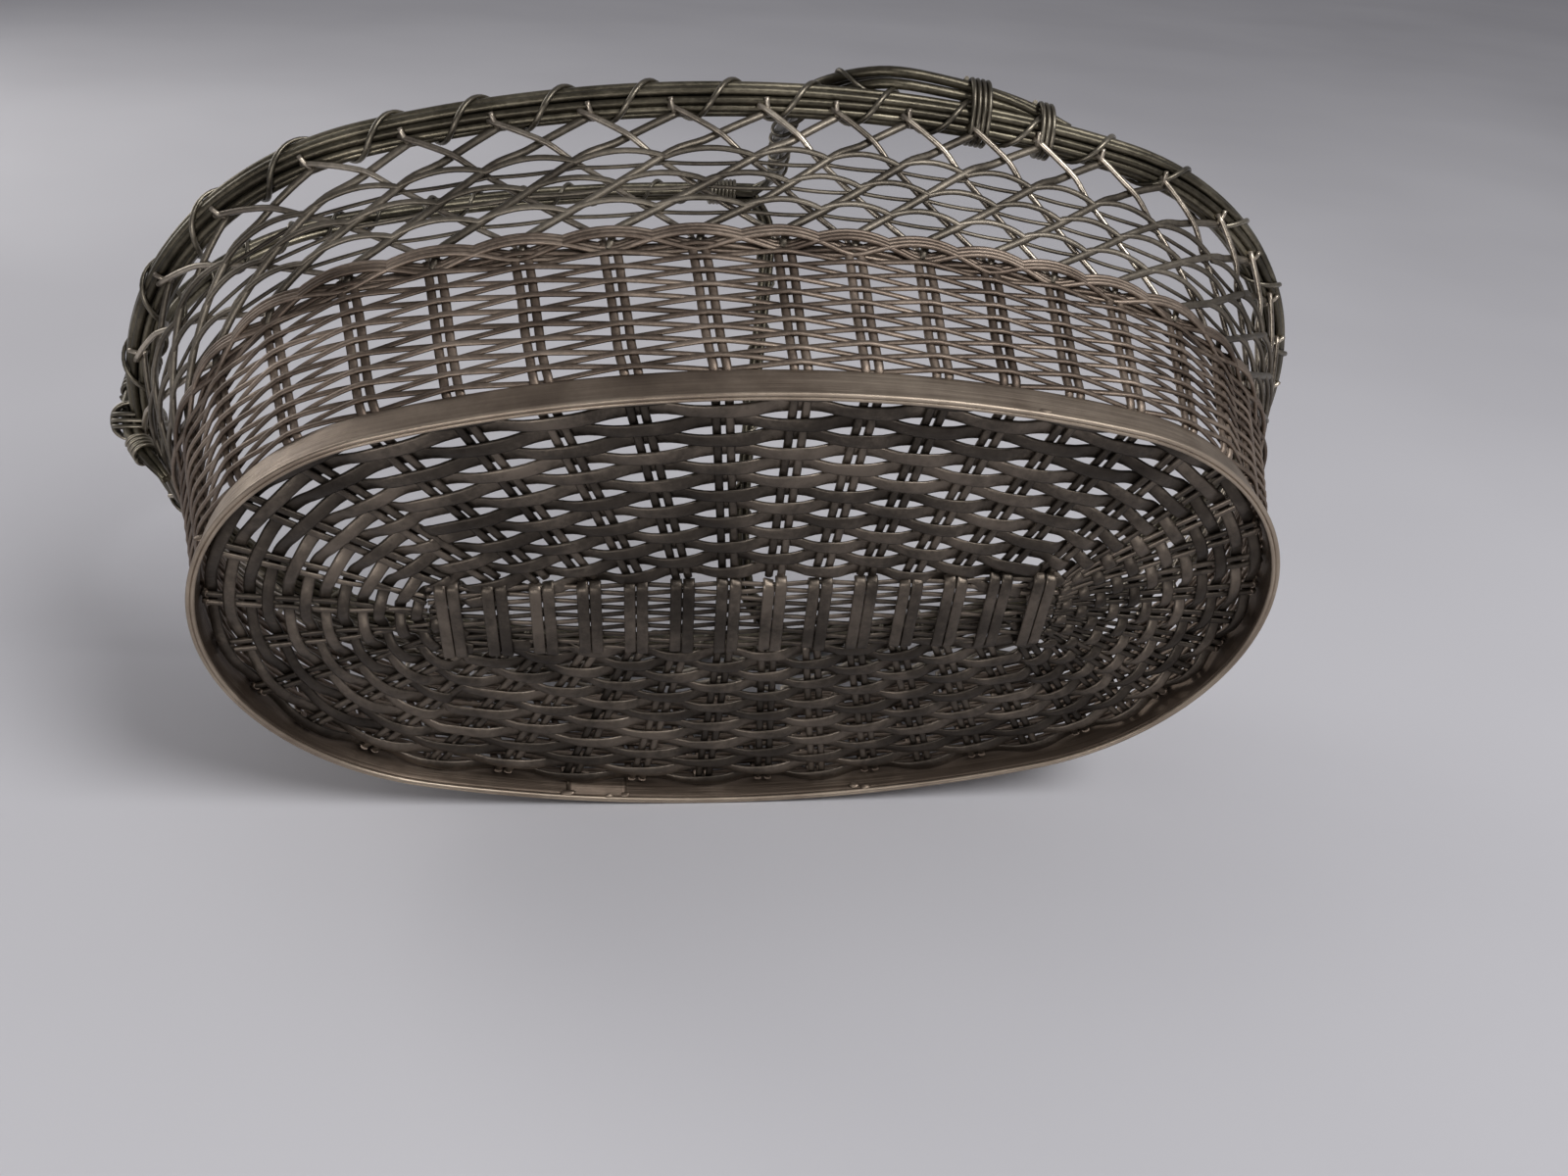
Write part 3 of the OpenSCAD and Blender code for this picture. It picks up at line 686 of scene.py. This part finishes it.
# lashing that crosses rim and bow at the back
for s, shift in ((1, 0.0), (-1, 0.0), (1, 1.2), (-1, 1.2), (1, -1.2), (-1, -1.2)):
    t = np.linspace(0, 2 * math.pi, 40, endpoint=False)
    cxm = (BOW_X - HALF_L - RIM_OFF) / 2 + 0.1
    ex = np.sign(np.cos(t)) * np.abs(np.cos(t)) ** 0.8 * 5.4
    ed = np.sign(np.sin(t)) * np.abs(np.sin(t)) ** 0.8 * 4.2
    base = np.c_[cxm + ex, ed * 0.707 + shift * 0.8,
                 RIM_Z - RIM_TILT * 136 + s * ed * 0.707 - s * shift * 0.8]
    rear.add(base, np.c_[np.cos(t), np.sin(t) * 0.7, s * np.sin(t) * 0.7], 0.5, closed=True)

LEG_INNER = [(2, -1.1, 162.4), (11.5, -1.2, 162.3), (17.4, -9, 157.2), (15.6, -28, 137.8), (12, -50, 112),
             (10.5, -67, 91.5), (13.5, -79.6, 77), (24, -87.2, 70.4), (38, -86.2, 69.8), (53, -82.9, 69.9),
             (64, -78.9, 69.4), (76, -74.6, 69.0)]
LEG_OUTER = [(2, -1.1, 160.3), (11.5, -1.2, 160.2), (15.2, -9, 155.2), (13.4, -28, 135.9), (9.8, -50, 110.1),
             (8.3, -67, 90), (11.2, -81.4, 78.2), (23.5, -89.2, 71.6), (38, -88, 71), (53, -84.2, 70.2),
             (64, -79.4, 68.6), (76, -75.0, 68.5)]
LEG_MID = [(0.5 * (a[0] + b[0]) + 0.9, 0.5 * (a[1] + b[1]) + (0.9 if a[0] < 13 and a[2] > 100 else -0.6),
            0.5 * (a[2] + b[2]) + 0.9) for a, b in zip(LEG_INNER, LEG_OUTER)]


def leg(name, bind_name, side):
    flip = np.array([1, -side, 1.0])
    wires = Wires(name, 10)
    paths = []
    for pts in (LEG_INNER, LEG_OUTER, LEG_MID):
        path = bezier_fill(np.array(pts[1:-1], float), 7)
        path = np.vstack([np.array(pts[1]) - [6.0, 0, -0.05], path]) * flip
        paths.append(path)
        thin = np.linspace(1, 0, len(path))
        wires.add(path, np.array([0.6, 0.1, 0.75]), HW * (0.62 + 0.38 * np.clip(thin * 5, 0, 1)))
    binding = Wires(bind_name, 8)
    mid = 0.5 * (paths[0] + paths[1])
    # open spiral down the leg
    seg = np.r_[0, np.cumsum(np.linalg.norm(np.diff(mid, axis=0), axis=1))]
    turns = 9
    l = np.linspace(16.0, 138.0, turns * 20)
    c = np.stack([np.interp(l, seg, mid[:, i]) for i in range(3)], 1)
    tg = unit_rows(np.gradient(c, axis=0))
    ww = np.stack([np.interp(l, seg, (paths[0] - paths[1])[:, i]) for i in range(3)], 1)
    ww = unit_rows(ww - (ww * tg).sum(1, keepdims=True) * tg)
    vv = np.cross(tg, ww)
    t = np.linspace(0, 2 * math.pi * turns, len(l))
    d = 2.75 * np.cos(t)[:, None] * ww + 2.15 * np.sin(t)[:, None] * vv
    binding.add(c + d, d, 0.45)
    # tight turns around leg and rim together
    for x0, n_turns in ((41.6, 4), (56.8, 3)):
        m = n_turns * 30
        t = np.linspace(0, 2 * math.pi * n_turns, m)
        x = x0 + t / (2 * math.pi) * 1.12
        yc = np.sqrt((SIDE_R + RIM_OFF) ** 2 - x ** 2) - SIDE_Y
        zc = RIM_Z + RIM_TILT * x
        outw = np.array([0.0, 0.82, 0.57])
        perp = np.array([0.0, -0.57, 0.82])
        slim = 1.0 if x0 < 50 else 0.55
        c = np.c_[x, yc, zc] + 1.75 * slim * outw
        d = (4.1 + 2.2 * slim) * np.cos(t)[:, None] * outw + 4.15 * np.sin(t)[:, None] * perp
        path = (c + d) * np.array([1, side, 1])
        binding.add(path, d * np.array([1, side, 1]), 0.5)
    return wires, binding


leg_near, bind_near = leg("leg_near_worked", "leg_binding_near_worked", -1)
leg_far, bind_far = leg("leg_far_worked", "leg_binding_far_worked", 1)

# ------------------------------------------------------------------ foot
band = Wires("foot_band_worked")
ring = arc_angle(np.linspace(0, 4 * QUARTER, 440, endpoint=False))
# the band's inner face takes tint -0.7, painted shade on the inside of the foot
band.sweep([(-0.62, 1.0), (-0.1, 1.0), (0.0, 1.9), (0.08, 3.4), (0.08, 5.4), (0.02, 7.4),
            (-0.12, 7.9), (-0.4, BAND_H), (-0.68, 7.9), (-0.78, 7.3), (-0.8, 4.0), (-0.75, 1.6)],
           ring, 0.5, -0.7)
lap = Wires("foot_band_lap_worked")
seam = np.linspace(math.radians(96), math.radians(99.2), 14)
lap.sweep([(-1.36, 0.9), (-0.86, 0.7), (-0.86, 7.5), (-1.3, 7.3)], seam, tint=-0.9)
for frac, z, r in ((0.02, 1.2, 0.9), (0.98, 1.0, 1.1), (0.7, 6.9, 0.7), (0.3, 0.7, 0.7)):
    x, y = oval_at(-1.25, seam[0] + frac * (seam[-1] - seam[0]))
    lap.blob((float(x), float(y), z), (1.5 * r, 0.45, 0.7 * r))
for deg, off, z in ((83.5, -0.95, 1.9), (82.9, -0.95, 1.2), (281.6, 0.25, 1.5), (205.0, 0.2, 6.2)):
    x, y = oval_at(off, math.radians(deg))
    lap.blob((float(x), float(y), z), (1.3, 0.4, 0.8))
edge = Wires("foot_edge_wire_worked", 8)
for o, z, r in ((0.34, 0.62, 0.52), (-0.5, 0.5, 0.46)):
    x, y = oval_at(o, ring)
    edge.add(np.c_[x, y, np.full(len(ring), z)], np.c_[np.cos(ring), np.sin(ring), 0 * ring], r,
             closed=True, tint=1.0)

for wires, slot, material, nodes in (
    (bars, "base", M_BASE_PAINTED_SHADE, ["spine_bars"]),
    (stakes, "base", M_BASE_PAINTED_SHADE, ["base_stakes"]),
    (rungs, "base", M_BASE_PAINTED_SHADE, ["spine_wires"]),
    (ends, "base", M_BASE_PAINTED_SHADE, ["end_stakes"]),
    (weavers, "base", M_BASE_PAINTED_SHADE, ["base_weavers", "base_sheet"]),
    (side_stakes, "side", M_SIDE, ["side_stakes"]),
    (side_weavers, "side", M_SIDE, ["side_weavers", "side_sheet"]),
    (border, "side", M_SIDE, ["waist_border"]),
    # wires of one lean take the darker copy (painted shade), those of the other lean and the tails the
    # lighter copy (painted highlight)
    (lat_a, "lattice", M_WIRE_PAINTED_SHADE, ["lattice_left"]),
    (lat_b, "lattice", M_WIRE_PAINTED_HIGHLIGHT, ["lattice_right"]),
    (ties, "lattice", M_WIRE_PAINTED_SHADE, ["lattice_ties"]),
    (rim_core, "rim", M_RIM, ["rim_core"]),
    (rim_wires, "rim", M_RIM, ["rim_wires"]),
    (rim_binder, "binder", M_BIND, ["rim_binder"]),
    (tails, "lattice", M_WIRE_PAINTED_HIGHLIGHT, ["rim_tails"]),
    (bow, "rim", M_RIM, ["handle_bow"]),
    (bow_binder, "binder", M_BIND, ["bow_binder"]),
    (junction, "binder", M_BIND, ["junction_binding"]),
    (rear, "binder", M_BIND, ["rear_binding"]),
    (leg_near, "rim", M_RIM, ["leg_near"]),
    (leg_far, "rim", M_RIM, ["leg_far"]),
    (bind_near, "binder", M_BIND, ["leg_binding_near"]),
    (bind_far, "binder", M_BIND, ["leg_binding_far"]),
    (band, "band", M_BAND, ["foot_band"]),
    (lap, "band", M_BAND, ["foot_band_lap"]),
    (edge, "band", M_BAND, ["foot_edge_wire"]),
):
    wires.build(slot, material, nodes)

# ------------------------------------------------------------------ stage


def cloth(name):
    """Pale cloth, clear from behind so that the table hides nothing from below."""
    mat = bpy.data.materials.new(name)
    mat.use_nodes = True
    nt = mat.node_tree
    nt.nodes.clear()
    new, link = nt.nodes.new, nt.links.new
    out = new("ShaderNodeOutputMaterial")
    mix = new("ShaderNodeMixShader")
    clear = new("ShaderNodeBsdfTransparent")
    diff = new("ShaderNodeBsdfPrincipled")
    diff.inputs["Roughness"].default_value = 0.9
    diff.inputs["Specular IOR Level"].default_value = 0.1
    geo = new("ShaderNodeNewGeometry")
    co = new("ShaderNodeTexCoord")
    # soft lighter and darker patches across the cloth: painted shade of folds
    fold_shade = new("ShaderNodeTexNoise")
    fold_shade.inputs["Scale"].default_value = 3.0
    fold_shade.inputs["Detail"].default_value = 3.0
    link(co.outputs["Object"], fold_shade.inputs["Vector"])
    ramp = new("ShaderNodeValToRGB")
    ramp.color_ramp.elements[0].position = 0.3
    ramp.color_ramp.elements[0].color = (0.60, 0.59, 0.615, 1)
    ramp.color_ramp.elements[1].position = 0.7
    ramp.color_ramp.elements[1].color = (0.69, 0.68, 0.705, 1)
    link(fold_shade.outputs["Fac"], ramp.inputs["Fac"])
    link(ramp.outputs["Color"], diff.inputs["Base Color"])
    link(geo.outputs["Backfacing"], mix.inputs["Fac"])
    link(diff.outputs[0], mix.inputs[1])
    link(clear.outputs[0], mix.inputs[2])
    link(mix.outputs[0], out.inputs["Surface"])
    return mat


def plane(name, centre_, normal, size, mat):
    n_ = Vector(normal).normalized()
    x_ = Vector((1, 0, 0))
    y_ = n_.cross(x_).normalized()
    h = size / 2
    c_ = Vector(centre_)
    pts = [c_ - h * x_ - h * y_, c_ + h * x_ - h * y_, c_ + h * x_ + h * y_, c_ - h * x_ + h * y_]
    mesh = bpy.data.meshes.new(name)
    mesh.from_pydata([tuple(q) for q in pts], [], [(0, 1, 2, 3)])
    mesh.materials.append(mat)
    obj = bpy.data.objects.new(name, mesh)
    bpy.context.scene.collection.objects.link(obj)
    return obj


M_CLOTH = cloth("cloth")
# the cloth that the basket lies on, touching foot and rim along the +Y side
low_y = HALF_W + 0.9
high_y = HALF_W + RIM_OFF + RIM_R + 1.2
slope = math.atan2(high_y - low_y, RIM_Z)
lay_n = (0.0, -math.cos(slope), math.sin(slope))
plane("cloth_lay", (0.0, low_y * MM, 0.0), lay_n, 6.0, M_CLOTH)
floor = plane("table", (0.0, 0.0, -0.0003), (0, 0, 1), 4.0, M_CLOTH)
for flag in ("visible_diffuse", "visible_glossy", "visible_transmission", "visible_shadow"):
    setattr(floor, flag, False)

# ------------------------------------------------------------------ camera and light
cam_data = bpy.data.cameras.new("camera")
cam = bpy.data.objects.new("camera", cam_data)
bpy.context.scene.collection.objects.link(cam)
bpy.context.scene.camera = cam
cam_data.sensor_width = 36.0
cam_data.lens = 33.75
cam_data.clip_start = 0.01
cam_data.clip_end = 20.0
ELEV, AZIM, ROLL = math.radians(-41.05), math.radians(-9.95), math.radians(6.36)
back = Vector((math.sin(AZIM) * math.cos(ELEV), -math.cos(AZIM) * math.cos(ELEV), math.sin(ELEV)))
right = Vector((0, 0, 1)).cross(back).normalized()
up = back.cross(right)
right2 = math.cos(ROLL) * right - math.sin(ROLL) * up
up2 = math.sin(ROLL) * right + math.cos(ROLL) * up
offset = Vector((-7.065, -9.07, -310.7)) * MM
place = -(right2 * offset.x + up2 * offset.y + back * offset.z) + Vector((SHIFT * MM, 0, 0))
cam.matrix_world = Matrix((
    (right2.x, up2.x, back.x, place.x),
    (right2.y, up2.y, back.y, place.y),
    (right2.z, up2.z, back.z, place.z),
    (0, 0, 0, 1)))


def area(name, direction, distance, size, power, color=(1, 1, 1)):
    data = bpy.data.lights.new(name, "AREA")
    data.shape = "DISK"
    data.size = size
    data.energy = power
    data.color = color
    obj = bpy.data.objects.new(name, data)
    d = Vector(direction).normalized()
    obj.location = d * distance + Vector((0, 0, 0.05))
    obj.rotation_euler = d.to_track_quat("Z", "Y").to_euler()
    bpy.context.scene.collection.objects.link(obj)
    return obj


# soft daylight from behind the camera and to its right, and a window high at the rear left
area("daylight", back * 0.75 + up2 * 0.35 + right2 * 0.55, 1.4, 0.6, 13.5, (0.98, 0.985, 1.0))
area("window", Vector((-0.75, -0.12, 0.66)), 1.1, 0.6, 3.0, (1.0, 0.99, 0.97))
area("low", back * 0.9 - up2 * 0.75 - right2 * 0.25, 1.2, 0.8, 17.0, (1.0, 0.99, 0.985))

world = bpy.data.worlds.new("room")
bpy.context.scene.world = world
world.use_nodes = True
wt = world.node_tree
wt.nodes.clear()
wout = wt.nodes.new("ShaderNodeOutputWorld")
bg = wt.nodes.new("ShaderNodeBackground")
bg.inputs["Strength"].default_value = 0.34
wco = wt.nodes.new("ShaderNodeTexCoord")
sep = wt.nodes.new("ShaderNodeSeparateXYZ")
wramp = wt.nodes.new("ShaderNodeValToRGB")
wramp.color_ramp.elements[0].position = 0.0
wramp.color_ramp.elements[0].color = (0.30, 0.29, 0.30, 1)
wramp.color_ramp.elements[1].position = 1.0
wramp.color_ramp.elements[1].color = (0.95, 0.95, 1.0, 1)
half = wt.nodes.new("ShaderNodeMapRange")
half.inputs["From Min"].default_value = -1.0
half.inputs["From Max"].default_value = 1.0
wt.links.new(wco.outputs["Generated"], sep.inputs[0])
wt.links.new(sep.outputs["Z"], half.inputs["Value"])
wt.links.new(half.outputs["Result"], wramp.inputs["Fac"])
wt.links.new(wramp.outputs["Color"], bg.inputs["Color"])
wt.links.new(bg.outputs[0], wout.inputs["Surface"])
bpy.context.scene.view_settings.view_transform = "Standard"
